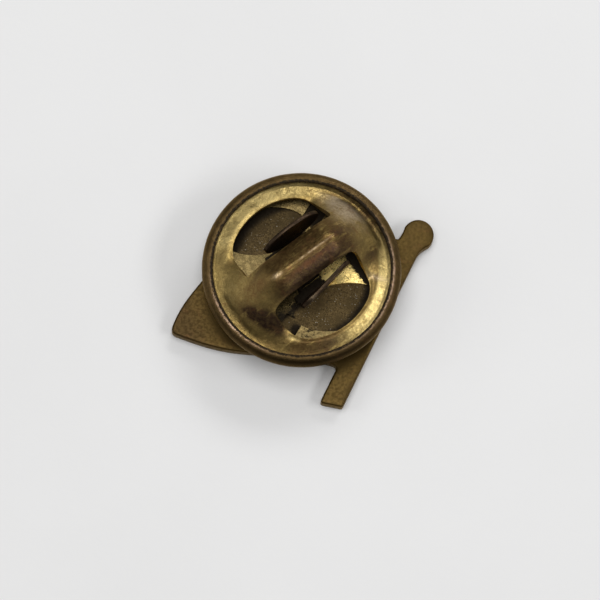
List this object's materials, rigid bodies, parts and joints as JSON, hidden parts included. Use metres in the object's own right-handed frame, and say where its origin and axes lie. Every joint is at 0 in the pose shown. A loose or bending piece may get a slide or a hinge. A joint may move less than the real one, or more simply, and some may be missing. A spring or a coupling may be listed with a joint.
{
  "type": "enamel lapel pin with butterfly clutch",
  "caption": "Struck metal flag-on-a-pole lapel pin with enamel bands on its front and a round butterfly clutch on its post.",
  "frame": {"origin": "on the post's axis, in the plane of the pin's front face, on which the pin lies face down", "axes": "+Z from the front face along the post toward the clutch's bridge; +X along the flag's long edges toward the pole; +Y up the flag toward the pole's ball"},
  "size_m": [0.0138, 0.0127, 0.0057],
  "materials": {
    "struck_brass": "satin, olive-brown tarnish",
    "teal_enamel": "glossy vitreous enamel",
    "cream_enamel": "glossy vitreous enamel",
    "maroon_enamel": "glossy vitreous enamel",
    "post_brass": "turned, dull",
    "solder": "dull silver solder",
    "rim_brass": "dark olive patina, worn pinkish crest",
    "spring_brass": "bright, pitted",
    "cap_brass": "yellow-olive, mottled with reddish-brown stains",
    "jaw_brass": "grey-brown tarnish, bright worn edges"
  },
  "bodies": {
    "pin": {"flag_plate": "struck_brass", "enamel_upper": "teal_enamel", "enamel_middle": "cream_enamel", "enamel_lower": "maroon_enamel", "post": "post_brass", "solder_fillet": "solder"},
    "clutch": {"clutch_base": "rim_brass", "clutch_spring": "spring_brass", "clutch_cap": "cap_brass"},
    "left_jaw": {"jaw_left": "jaw_brass"},
    "right_jaw": {"jaw_right": "jaw_brass"}
  },
  "joints": [
    {"name": "clutch_slide", "type": "slide", "parent": "pin", "child": "clutch", "axis": [0, 0, 1], "range_m": [0, 0.004]},
    {"name": "left_wing_press", "type": "slide", "parent": "clutch", "child": "left_jaw", "axis": [0.7547, -0.6561, 0], "range_m": [0, 0.0004], "stiffness_N_per_m": 500},
    {"name": "right_wing_press", "type": "slide", "parent": "clutch", "child": "right_jaw", "axis": [-0.7547, 0.6561, 0], "range_m": [0, 0.0004], "stiffness_N_per_m": 500}
  ]
}
